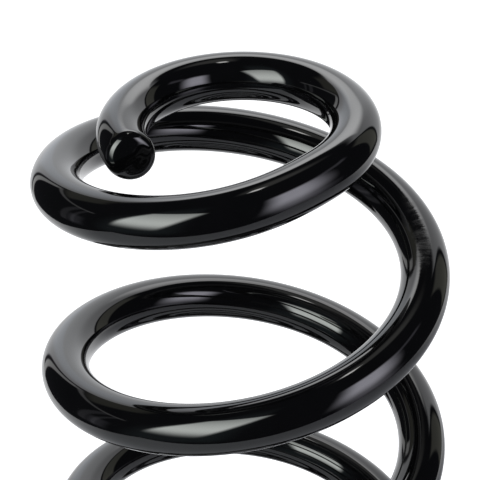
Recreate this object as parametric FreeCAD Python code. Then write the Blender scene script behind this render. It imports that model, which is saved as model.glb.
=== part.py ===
# Suspension coil spring: one bar of round spring steel, wound right-handed into a slightly barrelled coil.
# Both ends turn in to level pigtails, which sit in the spring seats of a vehicle's body and axle.
# Millimetres, +Z up along the coil's axis, with the origin on that axis at the foot of the lower pigtail.
import FreeCAD, Part
import math
import os

# the bar, and its sheared ends, whose crowned faces lean up and outward by these angles in degrees
wire_diameter = 13.0
end_crown_radius = 15.0
end_rounding = 1.8
end_lean_up_angle = 18.3
end_lean_out_angle = 9.1

# the winding, with diameters measured to the middle of the bar
total_turns = 6.484
pigtail_diameter = 58.4
shoulder_diameter = 94.0
middle_diameter = 99.4
outer_pitch = 59.4
middle_pitch = 52.6

# how the winding changes, in turns along the bar from either end
level_turns = 0.382
climb_turns = 1.0
pigtail_turns = 0.712
flare_turns = 0.365

# the pigtail opens out a little towards its tip
lead_out = 0.82
lead_out_turns = 0.18

# where the upper end of the bar lies, in degrees round the axis from +X
upper_end_angle = 209.1

# the bar's middle line is laid out in spans of two tangent arcs each
spans_per_turn = 8


def ease(share):
    """Goes smoothly from 0 to 1 as the share of a change goes from 0 to 1."""
    inside = min(max(share, 0.0), 1.0)
    return inside * inside * (3.0 - 2.0 * inside)


def eased_so_far(share):
    """The sum of ease from 0 up to a share, which grows evenly once the change is over."""
    inside = min(max(share, 0.0), 1.0)
    return inside**3 - inside**4 / 2.0 + max(share - 1.0, 0.0)


def winding_radius(turn):
    """Tight in the pigtail, flaring out to the shoulder, then swelling to the middle of the barrel."""
    from_end = min(turn, total_turns - turn)
    flare_end = pigtail_turns + flare_turns
    flare = ease((from_end - pigtail_turns) / flare_turns)
    to_middle = min(max((from_end - flare_end) / (total_turns / 2.0 - flare_end), 0.0), 1.0)
    swell = 1.0 - (1.0 - to_middle) ** 2
    flare_step = (shoulder_diameter - pigtail_diameter) / 2.0
    swell_step = (middle_diameter - shoulder_diameter) / 2.0
    opening = lead_out * max(1.0 - from_end / lead_out_turns, 0.0) ** 2
    return pigtail_diameter / 2.0 + opening + flare_step * flare + swell_step * swell


def rise_from_end(from_end):
    """Level in the pigtail, steepest just past it, and a little closer again towards the middle."""
    steepest_at = level_turns + climb_turns
    closing_turns = total_turns / 2.0 - steepest_at
    climb = outer_pitch * climb_turns * eased_so_far((from_end - level_turns) / climb_turns)
    closing = closing_turns * eased_so_far((from_end - steepest_at) / closing_turns)
    return climb + (middle_pitch - outer_pitch) * closing


def winding_height(turn):
    """Height of the bar's middle line. The two halves of the coil are alike, turned end for end."""
    middle_height = wire_diameter / 2.0 + rise_from_end(total_turns / 2.0)
    if turn < total_turns / 2.0:
        return 2.0 * middle_height - wire_diameter / 2.0 - rise_from_end(turn)
    return wire_diameter / 2.0 + rise_from_end(total_turns - turn)


def bar_centre(turn):
    """A point on the bar's middle line, counted in turns down from the upper end."""
    radius = winding_radius(turn)
    angle = math.radians(upper_end_angle) - 2.0 * math.pi * turn
    return FreeCAD.Vector(radius * math.cos(angle), radius * math.sin(angle), winding_height(turn))


def bar_direction(turn):
    small_turn = 1e-5
    return (bar_centre(turn + small_turn) - bar_centre(turn - small_turn)).normalize()


def tangent_arc(start, corner, end):
    """The arc from start to end whose end tangents meet at the corner, which is as far from both."""
    middle = (start + end) * 0.5
    half_chord = (end - start).Length / 2.0
    towards_corner = corner - middle
    half_bend = math.atan2(towards_corner.Length, half_chord)
    bow = half_chord * math.tan(half_bend / 2.0)
    return Part.Arc(start, middle + towards_corner.normalize() * bow, end).toShape()


def span_arcs(first_turn, last_turn):
    """Two arcs that leave and arrive along the bar and share a tangent where they meet."""
    start, end = bar_centre(first_turn), bar_centre(last_turn)
    leaving, arriving = bar_direction(first_turn), bar_direction(last_turn)
    chord = end - start
    both = leaving + arriving
    bend = 2.0 * (1.0 - leaving.dot(arriving))
    reach = (math.sqrt(chord.dot(both) ** 2 + bend * chord.dot(chord)) - chord.dot(both)) / bend
    first_corner = start + leaving * reach
    second_corner = end - arriving * reach
    meeting = (first_corner + second_corner) * 0.5
    return [tangent_arc(start, first_corner, meeting), tangent_arc(meeting, second_corner, end)]


def end_waste(turn, way_out, upward):
    """What is sheared off past one end: all that lies outside a large ball whose skin is the crowned face."""
    middle = bar_centre(turn)
    outward = FreeCAD.Vector(middle.x, middle.y, 0.0).normalize()
    lean_up = math.tan(math.radians(end_lean_up_angle))
    lean_out = math.tan(math.radians(end_lean_out_angle))
    facing = (way_out + upward * lean_up + outward * lean_out).normalize()
    ball = Part.makeSphere(end_crown_radius)
    # the ball is turned so that its seam and poles lie away from the face
    ball_turn = FreeCAD.Rotation(FreeCAD.Vector(-1.0, 0.0, 0.0), facing)
    ball.Placement = FreeCAD.Placement(middle - facing * end_crown_radius, ball_turn)
    depth = 0.6 * wire_diameter
    waste = Part.makeCylinder(0.6 * wire_diameter, 1.2 * wire_diameter, middle - way_out * depth, way_out)
    return waste.cut(ball)


def coil_spring():
    """The bar swept along its middle line, then sheared at both ends, with the edges there rounded over."""
    spans = math.ceil(total_turns * spans_per_turn)
    # the sweep runs past both ends by a length that is sheared off again
    spare = 0.2 * wire_diameter / (math.pi * pigtail_diameter)
    first, last = -spare, total_turns + spare
    stops = [first + (last - first) * stop / spans for stop in range(spans + 1)]
    line = []
    for start, end in zip(stops, stops[1:]):
        line += span_arcs(start, end)
    section = Part.Circle(bar_centre(first), bar_direction(first), wire_diameter / 2.0)
    bar = Part.Wire(line).makePipeShell([Part.Wire([section.toShape()])], True, False)
    up = FreeCAD.Vector(0.0, 0.0, 1.0)
    bar = bar.cut(end_waste(0.0, bar_direction(0.0) * -1.0, up))
    bar = bar.cut(end_waste(total_turns, bar_direction(total_turns), up * -1.0))
    faces = [face for face in bar.Faces if face.Surface.TypeId == "Part::GeomSphere"]
    rounding = min(end_rounding, 0.3 * wire_diameter)
    return bar.makeFillet(rounding, [edge for face in faces for edge in face.Edges])


os.makedirs("parts", exist_ok=True)
coil_spring().exportStep("parts/coil_spring.step")
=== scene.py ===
import math

import bpy
from mathutils import Matrix, Vector


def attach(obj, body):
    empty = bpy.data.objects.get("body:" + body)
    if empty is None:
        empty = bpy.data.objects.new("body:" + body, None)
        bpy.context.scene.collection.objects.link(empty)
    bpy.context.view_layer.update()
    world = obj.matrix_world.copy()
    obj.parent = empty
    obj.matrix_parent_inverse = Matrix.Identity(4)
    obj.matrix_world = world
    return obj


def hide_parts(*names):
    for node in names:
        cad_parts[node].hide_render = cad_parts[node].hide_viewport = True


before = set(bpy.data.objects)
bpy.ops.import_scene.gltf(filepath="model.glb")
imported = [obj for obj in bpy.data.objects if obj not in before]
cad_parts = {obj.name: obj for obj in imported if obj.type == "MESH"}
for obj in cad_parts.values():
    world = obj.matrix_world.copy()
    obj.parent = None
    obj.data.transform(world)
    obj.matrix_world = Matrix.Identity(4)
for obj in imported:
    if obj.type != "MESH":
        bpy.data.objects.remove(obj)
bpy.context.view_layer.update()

# The coil
# One bar of round spring steel, 13 mm thick, wound hot over a mandrel into an open right-hand coil.
# Both ends turn in to level pigtails for the spring seats. It is dipped in black enamel, which dries to a
# deep, slightly wavy gloss.


class Amount:
    """A number inside a node tree. Arithmetic on it adds Math nodes to that tree."""

    def __init__(self, socket):
        self.socket = socket

    def step(self, operation, second=0.0, third=0.0):
        node = self.socket.id_data.nodes.new("ShaderNodeMath")
        node.operation = operation
        for place, value in zip(node.inputs, (self, second, third)):
            feed(place, value)
        return Amount(node.outputs[0])

    def __add__(self, other):
        return self.step("ADD", other)

    def __sub__(self, other):
        return self.step("SUBTRACT", other)

    def __rsub__(self, other):
        return (self * -1.0).step("ADD", other)

    def __mul__(self, other):
        return self.step("MULTIPLY", other)

    def __truediv__(self, other):
        return self.step("DIVIDE", other)

    def between(self, low, high):
        return self.step("MAXIMUM", low).step("MINIMUM", high)

    __radd__ = __add__
    __rmul__ = __mul__


def feed(place, value):
    """Links a node's output to an input, or writes a plain value into it."""
    if isinstance(value, Amount):
        value = value.socket
    if isinstance(value, bpy.types.NodeSocket):
        place.id_data.links.new(value, place)
    else:
        place.default_value = value


def new_node(tree, kind, settings=None, **inputs):
    """Adds a node with its settings, and feeds the inputs that are named with _ for a space."""
    node = tree.nodes.new(kind)
    for name, value in (settings or {}).items():
        setattr(node, name, value)
    for name, value in inputs.items():
        feed(node.inputs[name.replace("_", " ")], value)
    return node


def eased(amount, start, end, low=0.0, high=1.0):
    """Goes smoothly from low to high while the amount goes from start to end."""
    node = new_node(amount.socket.id_data, "ShaderNodeMapRange", {"interpolation_type": "SMOOTHSTEP"})
    names = ("Value", "From Min", "From Max", "To Min", "To Max")
    for name, value in zip(names, (amount, start, end, low, high)):
        feed(node.inputs[name], value)
    return Amount(node.outputs[0])


def eased_so_far(share):
    """The sum of a smooth change from 0 up to a share of it, which grows evenly once the change is over."""
    inside = share.between(0.0, 1.0)
    return inside.step("POWER", 3.0) * (1.0 - inside / 2.0) + (share - 1.0).step("MAXIMUM", 0.0)


winding_sizes = {
    "Wire Diameter": 0.01295,
    "End Crown Radius": 0.030,
    "End Rounding": 0.0024,
    "End Lean Up": math.radians(8.5),
    "End Lean Out": math.radians(8.0),
    "Lean Reach": 0.009,
    "End Overrun": 0.0009,
    "End Taper": 0.031,
    "End Raise": 0.00022,
    "Taper Reach": 0.017,
    "End Lumps": 0.0004,
    "Total Turns": 6.484,
    "Pigtail Diameter": 0.0584,
    "Shoulder Diameter": 0.094,
    "Middle Diameter": 0.09935,
    "Outer Pitch": 0.0594,
    "Middle Pitch": 0.0526,
    "Level Turns": 0.382,
    "Climb Turns": 1.0,
    "Pigtail Turns": 0.712,
    "Flare Turns": 0.365,
    "Lead Out": 0.00082,
    "Lead Out Turns": 0.18,
    "Upper End Angle": math.radians(209.1),
    "Rings": 1401,
    "Face Rings": 10,
    "Edge Rings": 10,
    "Sides": 64,
}
winding = bpy.data.node_groups.new("coil_winding", "GeometryNodeTree")
winding.is_modifier = True
for size_name, size in winding_sizes.items():
    size_kind = "NodeSocketInt" if isinstance(size, int) else "NodeSocketFloat"
    winding.interface.new_socket(size_name, in_out="INPUT", socket_type=size_kind)
winding.interface.new_socket("Paint", in_out="INPUT", socket_type="NodeSocketMaterial")
winding.interface.new_socket("Coil", in_out="OUTPUT", socket_type="NodeSocketGeometry")
given = winding.nodes.new("NodeGroupInput")
sizes = {size_name: Amount(given.outputs[size_name]) for size_name in winding_sizes}
wire_radius = sizes["Wire Diameter"] / 2.0
half_turns = sizes["Total Turns"] / 2.0

# each ring's place along the bar, in turns from the nearer end, with close rings over the face and its edge
ring = Amount(new_node(winding, "GeometryNodeInputIndex").outputs["Index"])
middle_ring = (sizes["Rings"] - 1.0) / 2.0
rings_from_end = ring.step("MINIMUM", middle_ring * 2.0 - ring)
cap_rings = sizes["Face Rings"] + sizes["Edge Rings"]
ball_radius, rounding = sizes["End Crown Radius"], sizes["End Rounding"]
face_radius = (wire_radius - rounding) / (1.0 - rounding / ball_radius)
crown_angle = (face_radius / ball_radius).step("ARCSINE")
first_ring_share = 0.02
over_face = ((rings_from_end + first_ring_share) / sizes["Face Rings"]).step("MINIMUM", 1.0)
over_edge = ((rings_from_end - sizes["Face Rings"]) / sizes["Edge Rings"]).between(0.0, 1.0)
edge_angle = crown_angle + (math.pi / 2.0 - crown_angle) * over_edge
ring_radius = (wire_radius - rounding * (1.0 - edge_angle.step("SINE"))) * over_face
face_height = (ball_radius.step("POWER", 2.0) - (face_radius * over_face).step("POWER", 2.0)).step("SQRT")
face_depth = ball_radius - face_height
edge_depth = rounding * (crown_angle.step("COSINE") - edge_angle.step("COSINE"))
cap_length = ball_radius - (ball_radius - rounding) * crown_angle.step("COSINE") - sizes["End Overrun"]
pigtail_turn = sizes["Pigtail Diameter"] * math.pi
ring_turns = (half_turns - cap_length / pigtail_turn) / (middle_ring - cap_rings)
cap_depth = face_depth + edge_depth - sizes["End Overrun"]
from_end = cap_depth / pigtail_turn + (rings_from_end - cap_rings).step("MAXIMUM", 0.0) * ring_turns
taper_share = eased(from_end * pigtail_turn, sizes["Taper Reach"], 0.0)
tapered_radius = ring_radius * (1.0 - sizes["End Taper"] * taper_share)
upper_half = (middle_ring - ring).step("SIGN")


def rise_from_end(turns):
    """Level in the pigtail, steepest just past it, and a little closer again towards the middle."""
    steepest_at = sizes["Level Turns"] + sizes["Climb Turns"]
    closing_turns = half_turns - steepest_at
    climb = eased_so_far((turns - sizes["Level Turns"]) / sizes["Climb Turns"])
    closing = eased_so_far((turns - steepest_at) / closing_turns)
    pitch_change = sizes["Middle Pitch"] - sizes["Outer Pitch"]
    return sizes["Outer Pitch"] * sizes["Climb Turns"] * climb + pitch_change * closing_turns * closing


# opening a little to the tip, tight in the pigtail, flaring to the shoulder, then swelling to the middle
flare_end = sizes["Pigtail Turns"] + sizes["Flare Turns"]
flare = eased(from_end, sizes["Pigtail Turns"], flare_end)
to_middle = ((from_end - flare_end) / (half_turns - flare_end)).between(0.0, 1.0)
swell = 1.0 - (1.0 - to_middle).step("POWER", 2.0)
flare_step = (sizes["Shoulder Diameter"] - sizes["Pigtail Diameter"]) / 2.0
swell_step = (sizes["Middle Diameter"] - sizes["Shoulder Diameter"]) / 2.0
lead_out_share = (1.0 - from_end / sizes["Lead Out Turns"]).step("MAXIMUM", 0.0)
opening = sizes["Lead Out"] * lead_out_share.step("POWER", 2.0)
winding_radius = sizes["Pigtail Diameter"] / 2.0 + opening + flare_step * flare + swell_step * swell
middle_rise = rise_from_end(half_turns)
height = wire_radius + middle_rise + upper_half * (middle_rise - rise_from_end(from_end))
turn = half_turns - upper_half * (half_turns - from_end)
angle = sizes["Upper End Angle"] - turn * (2.0 * math.pi)
outward_x, outward_y = angle.step("COSINE"), angle.step("SINE")
outward = new_node(winding, "ShaderNodeCombineXYZ", X=outward_x, Y=outward_y).outputs[0]
bar_middle = new_node(
    winding, "ShaderNodeCombineXYZ", X=outward_x * winding_radius, Y=outward_y * winding_radius, Z=height
).outputs[0]

# the bar's middle line, with what each ring needs to know of the bar
line = new_node(winding, "GeometryNodeCurvePrimitiveLine")
rings_line = new_node(
    winding, "GeometryNodeResampleCurve", {"mode": "COUNT"}, Curve=line.outputs[0], Count=sizes["Rings"]
)
wound_line = new_node(
    winding, "GeometryNodeSetPosition", Geometry=rings_line.outputs[0], Position=bar_middle
)
level_line = new_node(winding, "GeometryNodeSetCurveNormal", {"mode": "Z_UP"}, Curve=wound_line.outputs[0])
along_bar = new_node(winding, "GeometryNodeSplineParameter").outputs["Length"]
bar_direction = new_node(winding, "GeometryNodeInputTangent").outputs[0]
upward = new_node(winding, "ShaderNodeVectorMath", {"operation": "CROSS_PRODUCT"})
feed(upward.inputs[0], bar_direction)
feed(upward.inputs[1], outward)
kept = new_node(
    winding, "GeometryNodeCaptureAttribute", {"domain": "POINT"}, Geometry=level_line.outputs[0]
)
lean_share = eased(from_end * pigtail_turn - cap_length, sizes["Lean Reach"], 0.0)
for kept_kind, kept_name, kept_value in (
    ("VECTOR", "Bar Middle", new_node(winding, "GeometryNodeInputPosition").outputs[0]),
    ("VECTOR", "Outward", outward),
    ("VECTOR", "Upward", upward.outputs[0]),
    ("VECTOR", "Bar Direction", bar_direction),
    ("FLOAT", "Along", along_bar),
    ("FLOAT", "Lean Share", lean_share),
    ("FLOAT", "Taper Share", taper_share),
    ("FLOAT", "Upper Half", upper_half),
):
    kept.capture_items.new(kept_kind, kept_name)
    feed(kept.inputs[kept_name], kept_value)

# the round bar along that line
section = new_node(
    winding, "GeometryNodeCurvePrimitiveCircle", {"mode": "RADIUS"}, Resolution=sizes["Sides"], Radius=1.0
)
bar = new_node(
    winding, "GeometryNodeCurveToMesh",
    Curve=kept.outputs[0], Profile_Curve=section.outputs[0], Scale=tapered_radius, Fill_Caps=True,
)

# where each point of the surface lies on the bar before it is wound: along it, outwards and upwards
across = new_node(winding, "ShaderNodeVectorMath", {"operation": "SUBTRACT"})
feed(across.inputs[0], new_node(winding, "GeometryNodeInputPosition").outputs[0])
feed(across.inputs[1], kept.outputs["Bar Middle"])
shares = []
for kept_name in ("Outward", "Upward"):
    share = new_node(winding, "ShaderNodeVectorMath", {"operation": "DOT_PRODUCT"})
    feed(share.inputs[0], across.outputs[0])
    feed(share.inputs[1], kept.outputs[kept_name])
    shares.append(share.outputs["Value"])
place_on_bar = new_node(winding, "ShaderNodeCombineXYZ", X=kept.outputs["Along"], Y=shares[0], Z=shares[1])
marked_bar = new_node(
    winding, "GeometryNodeStoreNamedAttribute", {"data_type": "FLOAT_VECTOR", "domain": "POINT"},
    Geometry=bar.outputs[0], Name="place_on_bar", Value=place_on_bar.outputs[0],
)

# the ends are sheared at a slant, a little lumpy and drawn thinner from below, which fades out along the bar
lump_scale = 230.0
outer_lean = Amount(shares[0]) * sizes["End Lean Out"].step("TANGENT") * Amount(kept.outputs["Upper Half"])
lumps = new_node(winding, "ShaderNodeTexNoise", Vector=place_on_bar.outputs[0], Scale=lump_scale, Detail=0.0)
end_lumps = (Amount(lumps.outputs["Fac"]) - 0.5) * sizes["End Lumps"]
slant = Amount(shares[1]) * sizes["End Lean Up"].step("TANGENT") + outer_lean + end_lumps
slip_length = slant * Amount(kept.outputs["Lean Share"])
slip = new_node(winding, "ShaderNodeVectorMath", {"operation": "SCALE"}, Scale=slip_length)
feed(slip.inputs[0], kept.outputs["Bar Direction"])
raise_height = sizes["End Raise"] * Amount(kept.outputs["Taper Share"])
raised = new_node(winding, "ShaderNodeVectorMath", {"operation": "SCALE"}, Scale=raise_height)
feed(raised.inputs[0], kept.outputs["Upward"])
end_shift = new_node(winding, "ShaderNodeVectorMath", {"operation": "ADD"})
feed(end_shift.inputs[0], slip.outputs[0])
feed(end_shift.inputs[1], raised.outputs[0])
cut_bar = new_node(
    winding, "GeometryNodeSetPosition", Geometry=marked_bar.outputs[0], Offset=end_shift.outputs[0]
)
smooth_bar = new_node(winding, "GeometryNodeSetShadeSmooth", Geometry=cut_bar.outputs[0])
real_bar = new_node(winding, "GeometryNodeRealizeInstances", Geometry=smooth_bar.outputs[0])
painted_bar = new_node(
    winding, "GeometryNodeSetMaterial", Geometry=real_bar.outputs[0], Material=given.outputs["Paint"]
)
made = winding.nodes.new("NodeGroupOutput")
feed(made.inputs["Coil"], painted_bar.outputs[0])

# black enamel: a deep gloss with a little orange peel and slow waves where the wet paint sagged
black_paint = bpy.data.materials.new("black_paint")
black_paint.use_nodes = True
paint = black_paint.node_tree
enamel = paint.nodes["Principled BSDF"]
enamel.inputs["IOR"].default_value = 1.65
bar_place = new_node(paint, "ShaderNodeAttribute", {"attribute_name": "place_on_bar"}).outputs["Vector"]
slow_waves = new_node(paint, "ShaderNodeTexNoise", Vector=bar_place, Scale=70.0, Detail=1.0)
orange_peel = new_node(paint, "ShaderNodeTexNoise", Vector=bar_place, Scale=520.0, Detail=2.0)
haze = new_node(paint, "ShaderNodeTexNoise", Vector=bar_place, Scale=160.0, Detail=3.0)
tint = new_node(paint, "ShaderNodeMix", {"data_type": "RGBA"}, Factor=haze.outputs["Fac"])
tint.inputs["A"].default_value = (0.0010, 0.0010, 0.0012, 1.0)
tint.inputs["B"].default_value = (0.0022, 0.0022, 0.0025, 1.0)
feed(enamel.inputs["Base Color"], tint.outputs["Result"])

# a short stretch of the second turn is scuffed along its top, as if it had rubbed against another spring
rub_start, rub_end = (0.349, 0.362), (0.389, 0.379)
rub_inner_edge, rub_outer_edge = (-0.0042, -0.0012), (0.0020, 0.0006)
rub_lower_edge = (0.0040, 0.0055)
rub_roughness = 0.15
bar_ways = new_node(paint, "ShaderNodeSeparateXYZ", Vector=bar_place)
rub_along, rub_across, rub_above = (Amount(bar_ways.outputs[way]) for way in ("X", "Y", "Z"))
rub_place = new_node(paint, "ShaderNodeMapping", Vector=bar_place, Scale=(1.0, 0.35, 0.35))
rub_marks = new_node(paint, "ShaderNodeTexNoise", Vector=rub_place.outputs[0], Scale=700.0, Detail=2.0)
rubbed = (
    eased(rub_along, *rub_start)
    * eased(rub_along, *rub_end)
    * eased(rub_across, *rub_inner_edge)
    * eased(rub_across, *rub_outer_edge)
    * eased(rub_above, *rub_lower_edge)
)
rub_depth = rubbed * eased(Amount(rub_marks.outputs["Fac"]), 0.30, 0.62, 0.35, 1.0)
clean_roughness = eased(Amount(haze.outputs["Fac"]), 0.3, 0.7, 0.025, 0.05)
feed(enamel.inputs["Roughness"], clean_roughness + rub_depth * rub_roughness)

# the heights of the waves, the orange peel and the scuffs, one on top of the other
wave_bump = new_node(
    paint, "ShaderNodeBump", Strength=1.0, Distance=0.000012, Height=slow_waves.outputs["Fac"]
)
peel_bump = new_node(
    paint, "ShaderNodeBump",
    Strength=1.0, Distance=0.000002, Height=orange_peel.outputs["Fac"], Normal=wave_bump.outputs[0],
)
rub_bump = new_node(
    paint, "ShaderNodeBump",
    Strength=rubbed, Distance=0.000035, Height=rub_marks.outputs["Fac"], Normal=peel_bump.outputs[0],
)
feed(enamel.inputs["Normal"], rub_bump.outputs[0])

# the coil is drawn once and kept as a plain mesh
wound_bar = bpy.data.objects.new("wound_bar", bpy.data.meshes.new("wound_bar"))
bpy.context.scene.collection.objects.link(wound_bar)
winder = wound_bar.modifiers.new("winding", "NODES")
winder.node_group = winding
for socket in winding.interface.items_tree:
    if socket.in_out == "INPUT":
        winder[socket.identifier] = black_paint if socket.name == "Paint" else winding_sizes[socket.name]
drawn = bpy.context.evaluated_depsgraph_get()
plain_mesh = bpy.data.meshes.new_from_object(
    wound_bar.evaluated_get(drawn), preserve_all_data_layers=True, depsgraph=drawn
)
wound_bar.modifiers.remove(winder)
wound_bar.data = plain_mesh
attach(wound_bar, "root")
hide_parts("coil_spring")

# The floor
# A white paper-covered table under the spring, with its front edge four tenths of a metre before it. The
# camera sees it as plain white that keeps the spring's shadow. In the gloss of the paint it shows painted
# light: dim in front and bright towards the back, a glow painted in for the lamplight falling there.
floor_corners = [
    (-0.58, -0.39, 0.0), (0.70, -0.40, 0.0), (0.70, 1.00, 0.0), (-0.42, 1.00, 0.0), (-0.34, 0.10, 0.0)
]
floor_mesh = bpy.data.meshes.new("floor")
floor_mesh.from_pydata(floor_corners, [], [tuple(range(len(floor_corners)))])
floor = bpy.data.objects.new("floor", floor_mesh)
bpy.context.scene.collection.objects.link(floor)
white_paper = bpy.data.materials.new("white_paper")
white_paper.use_nodes = True
white_paper.cycles.emission_sampling = "NONE"
paper = white_paper.node_tree
paper_surface = paper.nodes["Principled BSDF"]
paper_surface.inputs["Base Color"].default_value = (0.52, 0.53, 0.57, 1.0)
paper_surface.inputs["Roughness"].default_value = 0.9
paper_surface.inputs["Specular IOR Level"].default_value = 0.1
paper_surface.inputs["Emission Color"].default_value = (1.0, 1.0, 1.0, 1.0)
paper_place = new_node(paper, "ShaderNodeTexCoord").outputs["Object"]
paper_far = new_node(paper, "ShaderNodeVectorMath", {"operation": "LENGTH"})
feed(paper_far.inputs[0], paper_place)
paper_ways = new_node(paper, "ShaderNodeSeparateXYZ", Vector=paper_place)
paper_behind = Amount(paper_ways.outputs["Y"])
paper_sight = new_node(paper, "ShaderNodeLightPath")
near_white, far_white = 0.5, 1.0
white_away = eased(Amount(paper_far.outputs["Value"]), 0.20, 0.45, near_white, far_white)
white_behind = eased(paper_behind, 0.07, 0.18, near_white, far_white)
seen_white = white_away.step("MAXIMUM", white_behind)
paper_gloss = Amount(paper_sight.outputs["Is Glossy Ray"]).step(
    "MAXIMUM", Amount(paper_sight.outputs["Is Transmission Ray"])
)
paper_across = Amount(paper_ways.outputs["X"])
# painted light on the floor, seen only in the paint's gloss: a glow from a dim front to a bright back left
# and back right
front_painted_light_level, left_painted_light_level, right_painted_light_level = 0.08, 0.80, 0.85
left_painted_light = eased(paper_behind - paper_across * 0.45, 0.0, 0.35, front_painted_light_level, left_painted_light_level)
right_painted_light = eased(paper_behind + paper_across * 0.7, 0.30, 0.80, front_painted_light_level, right_painted_light_level)
floor_painted_light = left_painted_light.step("MAXIMUM", right_painted_light)
feed(
    paper_surface.inputs["Emission Strength"],
    Amount(paper_sight.outputs["Is Camera Ray"]) * seen_white + paper_gloss * floor_painted_light,
)
floor_mesh.materials.append(white_paper)

# The studio round it
# A white backdrop behind the table, with a duller wall to its right and a dark doorway with pale edges to
# its left, in an otherwise dim room. The gloss of the paint shows all this. The camera sees plain white past
# the table.
studio = bpy.data.worlds.new("studio")
bpy.context.scene.world = studio
studio.use_nodes = True
room = studio.node_tree
room_light = room.nodes["Background"]
room_place = new_node(room, "ShaderNodeTexCoord").outputs["Generated"]
room_way = new_node(room, "ShaderNodeSeparateXYZ", Vector=room_place)
room_across, room_along = Amount(room_way.outputs["X"]), Amount(room_way.outputs["Y"])
round_from_back = room_across.step("ARCTAN2", room_along).step("DEGREES")
above_level = Amount(room_way.outputs["Z"]).step("ARCSINE").step("DEGREES")


def between_angles(angle, low, high, softness):
    """1 between two angles and 0 outside them, with edges that are soft over so many degrees."""
    half = softness / 2.0
    return eased(angle, low - half, low + half) * eased(angle, high + half, high - half)


def panel(sides, levels, side_softness, level_softness):
    """Part of the room between two angles round from the back and two angles above level."""
    return between_angles(round_from_back, *sides, side_softness) * between_angles(
        above_level, *levels, level_softness
    )


dim_room = (0.022, 0.023, 0.027)
room_panels = (
    # the white backdrop, a pale strip past its left edge, its brighter middle and a bluish patch there
    ((0.86, 0.87, 0.89), panel((-32.0, 45.0), (-30.0, 45.0), 2.0, 8.0)),
    ((0.80, 0.80, 0.79), panel((-39.5, -35.0), (-30.0, 25.0), 1.6, 4.0)),
    ((0.34, 0.35, 0.36), panel((-27.0, 24.0), (-30.0, 42.0), 20.0, 8.0)),
    ((0.10, 0.13, 0.18), panel((-25.0, -9.0), (-4.0, 37.0), 6.0, 8.0)),
    # the dull wall to its right and the wall over the doorway
    ((0.26, 0.26, 0.22), panel((48.0, 62.5), (-12.0, 38.0), 2.5, 8.0)),
    ((0.15, 0.15, 0.12), panel((-58.0, -32.0), (29.0, 47.0), 8.0, 6.0)),
    # the doorway's lintel, its two posts and what shines in low beside them
    ((0.36, 0.36, 0.36), panel((-97.0, -36.0), (25.0, 27.4), 4.0, 1.4)),
    ((0.12, 0.12, 0.13), panel((-85.5, -80.0), (-20.0, 26.0), 3.0, 4.0)),
    ((0.12, 0.12, 0.13), panel((-93.0, -90.0), (-20.0, 26.0), 2.0, 4.0)),
    ((0.14, 0.14, 0.16), panel((-99.0, -87.0), (-20.0, 4.0), 8.0, 10.0)),
    # stray light of the lamps: at the front left, under and beside the right softbox, and on the ceiling
    ((0.06, 0.08, 0.085), panel((-165.0, -115.0), (-20.0, 70.0), 20.0, 20.0)),
    ((0.38, 0.37, 0.43), panel((103.0, 132.0), (-22.0, -6.0), 16.0, 8.0)),
    ((0.30, 0.29, 0.34), panel((82.0, 104.0), (35.0, 41.0), 8.0, 4.0)),
    ((0.32, 0.32, 0.30), panel((4.0, 38.0), (60.0, 79.0), 16.0, 10.0)),
)
room_colour = dim_room
for panel_colour, panel_share in room_panels:
    added = new_node(room, "ShaderNodeVectorMath", {"operation": "MULTIPLY_ADD"})
    for place, value in zip(added.inputs, (panel_colour, panel_share, room_colour)):
        feed(place, value)
    room_colour = added.outputs[0]
room_sight = new_node(room, "ShaderNodeLightPath")
in_gloss = Amount(room_sight.outputs["Is Glossy Ray"]).step(
    "MAXIMUM", Amount(room_sight.outputs["Is Transmission Ray"])
)
seen_colour = new_node(room, "ShaderNodeMix", {"data_type": "RGBA"}, Factor=in_gloss)
seen_colour.inputs["A"].default_value = (1.0, 1.0, 1.0, 1.0)
feed(seen_colour.inputs["B"], room_colour)
feed(room_light.inputs["Color"], seen_colour.outputs["Result"])
plain_light = 0.15
feed(
    room_light.inputs["Strength"],
    in_gloss.step("MAXIMUM", Amount(room_sight.outputs["Is Camera Ray"])).step("MAXIMUM", plain_light),
)

# The lamps
# A large softbox at the front left, a softer one at the front right, a wide strip hung flat over the backdrop
# and a small lamp on the ceiling. Each is an area lamp whose cloth fades towards its edges.


def softbox(
    name, centre, wide_way, high_way, width, height, radiance, colour, fades, falling_off=0.0, rising=0.0
):
    """Its cloth fades over shares of it at its left, right, bottom and top, and away from its middle."""
    lamp = bpy.data.lights.new(name, "AREA")
    lamp.shape = "RECTANGLE"
    lamp.size, lamp.size_y = width, height
    lamp.energy = radiance * math.pi * width * height
    lamp.color = colour
    lamp.use_nodes = True
    cloth = lamp.node_tree
    cloth_point = new_node(cloth, "ShaderNodeNewGeometry").outputs["Parametric"]
    cloth_place = new_node(cloth, "ShaderNodeSeparateXYZ", Vector=cloth_point)
    across, up = Amount(cloth_place.outputs["X"]), Amount(cloth_place.outputs["Y"])
    left_fade, right_fade, bottom_fade, top_fade = fades
    from_middle = (up * 2.0 - 1.0).step("ABSOLUTE")
    strength = (
        eased(across, 0.0, left_fade)
        * eased(across, 1.0, 1.0 - right_fade)
        * eased(up, 0.0, bottom_fade)
        * eased(up, 1.0, 1.0 - top_fade)
        * (1.0 - from_middle.step("POWER", 1.3) * falling_off)
        * up.step("POWER", rising)
    )
    feed(cloth.nodes["Emission"].inputs["Strength"], strength)
    holder = bpy.data.objects.new(name, lamp)
    wide, high = Vector(wide_way).normalized(), Vector(high_way).normalized()
    turned = Matrix((wide, high, wide.cross(high))).transposed().to_4x4()
    holder.matrix_world = Matrix.Translation(centre) @ turned
    bpy.context.scene.collection.objects.link(holder)


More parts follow.
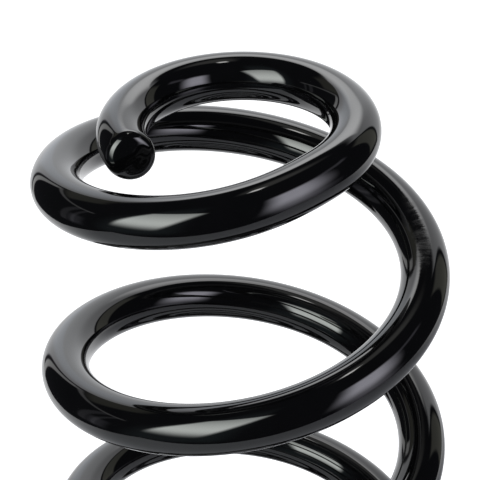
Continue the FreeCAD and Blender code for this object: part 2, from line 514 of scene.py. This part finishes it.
softbox(
    "left_softbox", centre=(-0.392, -0.468, 0.556),
    wide_way=(0.794, -0.563, -0.230), high_way=(0.433, 0.257, 0.864), width=0.52, height=0.84,
    radiance=6.3, colour=(0.955, 1.0, 0.957), fades=(0.15, 0.18, 0.42, 0.05), falling_off=0.60,
)
softbox(
    "right_softbox", centre=(0.607, -0.399, 0.510),
    wide_way=(0.603, 0.792, -0.101), high_way=(0.084, 0.063, 0.994), width=0.62, height=1.00,
    radiance=3.6, colour=(0.90, 0.885, 1.0), fades=(0.34, 0.50, 0.48, 0.20), falling_off=0.1,
)
softbox(
    "backdrop_strip", centre=(0.05, 0.53, 0.634),
    wide_way=(-1.0, 0.0, 0.0), high_way=(0.0, -1.0, 0.0), width=0.56, height=0.43,
    radiance=2.6, colour=(1.0, 1.0, 1.0), fades=(0.32, 0.32, 0.30, 0.08), rising=0.7,
)
softbox(
    "ceiling_lamp", centre=(0.13, 0.24, 1.55),
    wide_way=(1.0, 0.0, 0.0), high_way=(0.0, 1.0, 0.0), width=0.12, height=0.18,
    radiance=6.0, colour=(1.0, 0.99, 0.97), fades=(0.30, 0.30, 0.30, 0.30),
)

# The camera
# It stands close in front, a little above the upper pigtail, and looks down on it through a long lens.
picture_width = 480.0
focal_pixels = 1614.1
look_down = math.radians(32.03)
lean = math.radians(-1.397)
target = Vector((-0.00049, 0.0, 0.24088))
distance = 0.42286
view_camera = bpy.data.cameras.new("view_camera")
view_camera.sensor_width = 36.0
view_camera.lens = focal_pixels / picture_width * view_camera.sensor_width
view_camera.clip_start = 0.01
camera = bpy.data.objects.new("view_camera", view_camera)
ahead = Vector((0.0, math.cos(look_down), -math.sin(look_down)))
level_right = Vector((1.0, 0.0, 0.0))
level_up = level_right.cross(ahead)
picture_right = math.cos(lean) * level_right + math.sin(lean) * level_up
picture_up = math.cos(lean) * level_up - math.sin(lean) * level_right
camera_turn = Matrix((picture_right, picture_up, -ahead)).transposed().to_4x4()
camera.matrix_world = Matrix.Translation(target - ahead * distance) @ camera_turn
bpy.context.scene.collection.objects.link(camera)
bpy.context.scene.camera = camera
bpy.context.scene.view_settings.view_transform = "Standard"
